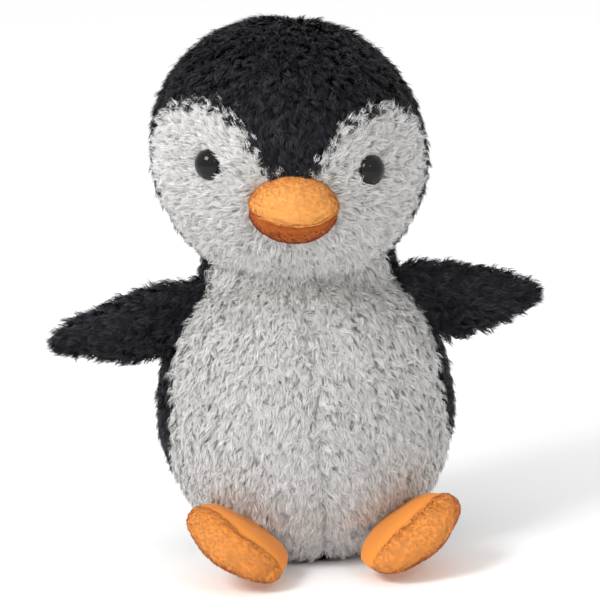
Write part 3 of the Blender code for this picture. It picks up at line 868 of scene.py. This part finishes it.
for number, (side_name, side) in enumerate(SIDES.items()):
    swing = joints[f"wing_{side_name}_swing"]
    hinge = np.array(swing["pos_m"])
    droop = WING_DROOP[side_name]
    out = np.array((side * math.cos(droop), 0, -math.sin(droop)))
    wide = np.array(swing["axis"]) * -side
    thick = np.array((0, 1, 0))
    size = (WING_LENGTH[side_name], WING_HALF, WING_TAPER, WING_ROOT, WING_PINCH)
    axes = (out, wide, thick)
    points, normals, local = limb_skin(size, hinge, axes, WING_BACKING, WING_START)
    points = points + normals * lumps(points, seed=60, wavelength=0.02, height=0.0005)
    in_front = face_centres(local)[..., 2] < 0

    def wing_lay(centre, out=out):
        """Brushed to the tip."""
        return np.broadcast_to(out, centre.shape)

    for part, half in (("front", in_front), ("back", ~in_front)):
        skin = (points, normals, faces_of(points.shape, half))
        fur = brush(*skin, WING_PILE, wing_lay, 60 + number)
        piece = add_fabric(f"wing_plush_{side_name}_{part}", *skin, fur, BLACK_PLUSH)
        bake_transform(piece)
        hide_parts(f"wing_{side_name}_{part}")


# ---------------------------------------------------------------- Feet
# Fan-shaped pads of orange velboa, sewn under the front of the belly and splayed outwards.
# The top lies smooth next to the body; the rounded toe is brushed up, paler and wrinkled,
# and one stitch through the pad pulls a dimple in it.

FOOT_LENGTH = 0.034
FOOT_HALF = (0.0260, 0.0102)    # half its width and half its thickness
FOOT_TAPER = -0.08              # wider towards the toe
FOOT_ROOT = -0.50
FOOT_START = -0.72
FOOT_PINCH = 0.65
FOOT_HINGE_RISE = 0.0045        # the seam it lifts about is this far above its middle
FOOT_BACKING = 0.0004
CREASE_OUT = 0.0175             # from the sewn edge to the crease, on the middle line
CREASE_BOW = 0.007              # the crease curves back by this much at both edges
CREASE_WIDTH = 0.0030
CREASE_DEPTH = 0.0003
STITCH_PAST = 0.003             # the stitch lies past the crease and to the inner side
STITCH_WIDTH = 0.0035
STITCH_DEPTH = 0.0009
TOE_RISE = 0.0024               # the stuffed toe stands above the flat top
FOOT_PILE = dict(BEAK_PILE, tufts=2_200_000, length=0.0011, stray=0.9)
FOOT_VELBOA = velboa_finish(
    "orange_velboa",
    shaded_roots=(0.80, 0.27, 0.035),
    dark=(0.80, 0.27, 0.035),
    light=(0.62, 0.30, 0.095),
)


def past_crease(local, reach):
    """0 to 1 over this reach beyond the crease, and below 0 on the side of the body."""
    crease = CREASE_OUT - CREASE_BOW * (local[..., 1] / FOOT_HALF[0]) ** 2
    return (local[..., 0] - crease) / reach


for number, (side_name, side) in enumerate(SIDES.items()):
    lift = joints[f"foot_{side_name}_lift"]
    wide = -np.array(lift["axis"])
    out = unit(np.array((wide[1], -wide[0], 0.0)))
    thick = np.cross(out, wide)
    thick = thick * np.sign(thick[2])
    middle = np.array(lift["pos_m"]) - thick * FOOT_HINGE_RISE
    size = (FOOT_LENGTH, FOOT_HALF, FOOT_TAPER, FOOT_ROOT, FOOT_PINCH)

    def toe_shape(local, side=side):
        """Sinks a crease between the smooth top and the toe, and the stitch's dimple."""
        top = np.clip(local[..., 2] / FOOT_HALF[1], 0, 1)
        crease = CREASE_DEPTH * np.exp(-(past_crease(local, CREASE_WIDTH) ** 2))
        beyond = local[..., 0] - CREASE_OUT - STITCH_PAST
        stitch_gap = np.hypot(beyond, local[..., 1] + side * STITCH_PAST)
        stitch = STITCH_DEPTH * np.exp(-((stitch_gap / STITCH_WIDTH) ** 2))
        shaped = local.copy()
        past = np.clip(past_crease(local, 0.009), 0, 1)
        shaped[..., 2] += (TOE_RISE * past * past * (3 - 2 * past) - crease - stitch) * top
        return shaped

    axes = (out, wide, thick)
    points, normals, local = limb_skin(size, middle, axes, FOOT_BACKING, FOOT_START, toe_shape)
    stuffed = lumps(points, seed=70, wavelength=0.022, height=0.0005)
    wrinkled = lumps(points, seed=71, wavelength=0.009, height=0.00012)
    points = points + normals * (stuffed + wrinkled)
    on_top = face_centres(local)[..., 2] > 0

    def foot_lay(centre, out=out, thick=thick):
        """Brushed to the toe, swirling to both sides."""
        swirl = lumps(centre, seed=72, wavelength=0.012, height=0.8)
        return np.broadcast_to(out, centre.shape) + swirl * np.cross(thick, out)

    def foot_place(centre, middle=middle, axes=np.array((out, wide, thick))):
        return (centre - middle) @ axes.T

    def toe_tone(centre, foot_place=foot_place):
        """Deep where the pile lies smooth by the body, pale where it stands on the toe."""
        past = np.clip(past_crease(foot_place(centre), 0.005), -1, 1)
        patches = lumps(centre, seed=73, wavelength=0.008, height=0.06)[..., 0]
        return 0.34 * past + patches

    def toe_trim(centre, foot_place=foot_place):
        """The pile lies flat on the smooth top, so it is left off there."""
        past = np.clip(past_crease(foot_place(centre), 0.003), 0, 1)
        return 0.1 + 0.9 * past

    for part, half in (("top", on_top), ("sole", ~on_top)):
        skin = (points, normals, faces_of(points.shape, half))
        fur = brush(*skin, FOOT_PILE, foot_lay, 70 + number, toe_trim, toe_tone)
        piece = add_fabric(f"foot_velboa_{side_name}_{part}", *skin, fur, FOOT_VELBOA)
        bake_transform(piece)
        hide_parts(f"foot_{side_name}_{part}")


# ---------------------------------------------------------------- Label
# A blank loop of white satin ribbon. It is folded once, and both its ends are caught in the
# centre back seam, from which it stands out with a slight wave.

label_low, label_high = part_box("care_label")
LABEL_FOLD_RADIUS = 0.0006
LABEL_TUCK = 0.002              # how far its ends reach into the seam
LABEL_WAVE = 0.0012
LABEL_WAVE_RATE = 150           # radians to the metre
LABEL_THREADS = 9               # rows of points across the ribbon


def label_path():
    """The ribbon seen along its width: out from the seam, round the fold and back."""
    seam_y = label_low[1] - LABEL_TUCK
    fold_y = label_high[1] - LABEL_FOLD_RADIUS
    out = [(LABEL_FOLD_RADIUS, y) for y in np.linspace(seam_y, fold_y, 12)]
    turn = [
        (LABEL_FOLD_RADIUS * math.cos(a), fold_y + LABEL_FOLD_RADIUS * math.sin(a))
        for a in np.linspace(0, math.pi, 9)[1:-1]
    ]
    back = [(-x, y) for x, y in reversed(out)]
    return [
        (x + LABEL_WAVE * math.sin((y - seam_y) * LABEL_WAVE_RATE), y)
        for x, y in out + turn + back
    ]


def satin():
    made, tree, shader = new_material("white_satin", 0.38)
    place = tree.nodes.new("ShaderNodeTexCoord")
    threads = tree.nodes.new("ShaderNodeTexWave")
    threads.bands_direction = "Z"
    threads.inputs["Scale"].default_value = 900
    threads.inputs["Distortion"].default_value = 1.5
    bump = tree.nodes.new("ShaderNodeBump")
    bump.inputs["Strength"].default_value = 0.25
    bump.inputs["Distance"].default_value = 0.0001
    tint = tree.nodes.new("ShaderNodeMix")
    tint.data_type = "RGBA"
    tint.inputs["A"].default_value = (0.76, 0.76, 0.74, 1)
    tint.inputs["B"].default_value = (0.86, 0.86, 0.84, 1)
    tree.links.new(place.outputs["Object"], threads.inputs["Vector"])
    tree.links.new(threads.outputs["Fac"], bump.inputs["Height"])
    tree.links.new(threads.outputs["Fac"], tint.inputs["Factor"])
    tree.links.new(tint.outputs["Result"], shader.inputs["Base Color"])
    tree.links.new(bump.outputs["Normal"], shader.inputs["Normal"])
    return made


path = label_path()
across = np.linspace(label_low[2], label_high[2], LABEL_THREADS)
label_points = [(x, y, z) for x, y in path for z in across]
starts = [
    row * LABEL_THREADS + n for row in range(len(path) - 1) for n in range(LABEL_THREADS - 1)
]
label_faces = [(n, n + 1, n + 1 + LABEL_THREADS, n + LABEL_THREADS) for n in starts]
label_mesh = bpy.data.meshes.new("label_ribbon")
label_mesh.from_pydata(label_points, [], label_faces)
label_mesh.shade_smooth()
label_mesh.materials.append(satin())
label = bpy.data.objects.new("label_ribbon", label_mesh)
bpy.context.scene.collection.objects.link(label)
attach(label, "torso")
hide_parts("care_label")


# ---------------------------------------------------------------- Filling and hidden fittings
# Inside are loose polyester fibre, a cotton pouch of plastic pellets that weighs the seat,
# and the ribbed nylon washers that lock the eyes.

# for each slot: dark and light tint, roughness, grains to the metre and depth of the grain
FILLING = {
    "fibre": ((0.72, 0.72, 0.70), (0.90, 0.90, 0.88), 0.95, 260, 0.0008),
    "pouch_cloth": ((0.60, 0.57, 0.50), (0.74, 0.71, 0.64), 0.9, 1400, 0.0003),
    "washer_plastic": ((0.70, 0.70, 0.67), (0.78, 0.78, 0.75), 0.4, 90, 0.00005),
}


def filling_finish(name, dark, light, roughness, scale, depth):
    made, tree, shader = new_material(f"{name}_finish", roughness)
    place = tree.nodes.new("ShaderNodeTexCoord")
    grain = tree.nodes.new("ShaderNodeTexNoise")
    grain.inputs["Scale"].default_value = scale
    grain.inputs["Detail"].default_value = 6
    tint = tree.nodes.new("ShaderNodeMix")
    tint.data_type = "RGBA"
    tint.inputs["A"].default_value = (*dark, 1)
    tint.inputs["B"].default_value = (*light, 1)
    bump = tree.nodes.new("ShaderNodeBump")
    bump.inputs["Distance"].default_value = depth
    tree.links.new(place.outputs["Object"], grain.inputs["Vector"])
    tree.links.new(grain.outputs["Fac"], tint.inputs["Factor"])
    tree.links.new(grain.outputs["Fac"], bump.inputs["Height"])
    tree.links.new(tint.outputs["Result"], shader.inputs["Base Color"])
    tree.links.new(bump.outputs["Normal"], shader.inputs["Normal"])
    return made


for slot, settings in FILLING.items():
    finish = filling_finish(slot, *settings)
    for subpart in frame["record"]["subparts"]:
        if subpart["material_slot"] == slot:
            for held in frame["nodes"][subpart["node"]].material_slots:
                held.material = finish


# ---------------------------------------------------------------- Floor, light and camera
# A plain white studio floor under an even white sky. A broad soft light stands high in front
# of the toy on its right, and a small one on its left puts a glint in its eyes.

FLOOR_HALF = 9

floor_mesh = bpy.data.meshes.new("studio_floor")
corners = [(x * FLOOR_HALF, y * FLOOR_HALF, 0) for x, y in ((-1, -1), (1, -1), (1, 1), (-1, 1))]
floor_mesh.from_pydata(corners, [], [(0, 1, 2, 3)])
floor_finish, _, floor_shader = new_material("pale_floor", 0.9)
floor_shader.inputs["Base Color"].default_value = (0.97, 0.97, 0.97, 1)
floor_shader.inputs["Specular IOR Level"].default_value = 0.1
floor_mesh.materials.append(floor_finish)
floor = bpy.data.objects.new("studio_floor", floor_mesh)
bpy.context.scene.collection.objects.link(floor)

world = bpy.data.worlds.new("studio")
world.use_nodes = True
sky = world.node_tree.nodes["Background"]
sky.inputs["Color"].default_value = (1, 1, 1, 1)
sky.inputs["Strength"].default_value = 0.92
bpy.context.scene.world = world

TARGET = Vector((0, 0, 0.118))  # what the lights and the camera point at


def soft_light(name, place, size, power):
    data = bpy.data.lights.new(name, "AREA")
    data.size = size
    data.energy = power
    lamp = bpy.data.objects.new(name, data)
    lamp.location = place
    lamp.rotation_euler = (Vector(place) - TARGET).to_track_quat("Z", "Y").to_euler()
    bpy.context.scene.collection.objects.link(lamp)


soft_light("key_light", (-1.15, -0.9, 1.45), 0.7, 22)
soft_light("glint_light", (0.55, -1.2, 0.95), 0.09, 2)

CAMERA_ELEVATION = math.radians(13)
CAMERA_AZIMUTH = math.radians(-3)
CAMERA_ROLL = math.radians(3.2)
CAMERA_DISTANCE = 2.2
VIEW_WIDTH = 0.276              # across the view, at the target

back = Vector(
    (
        math.sin(CAMERA_AZIMUTH) * math.cos(CAMERA_ELEVATION),
        -math.cos(CAMERA_AZIMUTH) * math.cos(CAMERA_ELEVATION),
        math.sin(CAMERA_ELEVATION),
    )
)
right = Vector((0, 0, 1)).cross(back).normalized()
up = back.cross(right)
rolled_right = right * math.cos(CAMERA_ROLL) - up * math.sin(CAMERA_ROLL)
rolled_up = up * math.cos(CAMERA_ROLL) + right * math.sin(CAMERA_ROLL)
camera_data = bpy.data.cameras.new("camera")
camera_data.lens = camera_data.sensor_width * CAMERA_DISTANCE / VIEW_WIDTH
camera = bpy.data.objects.new("camera", camera_data)
turn = Matrix((rolled_right, rolled_up, back)).transposed()
camera.matrix_world = Matrix.Translation(TARGET + back * CAMERA_DISTANCE) @ turn.to_4x4()
bpy.context.scene.collection.objects.link(camera)
bpy.context.scene.camera = camera
bpy.context.scene.view_settings.view_transform = "Standard"
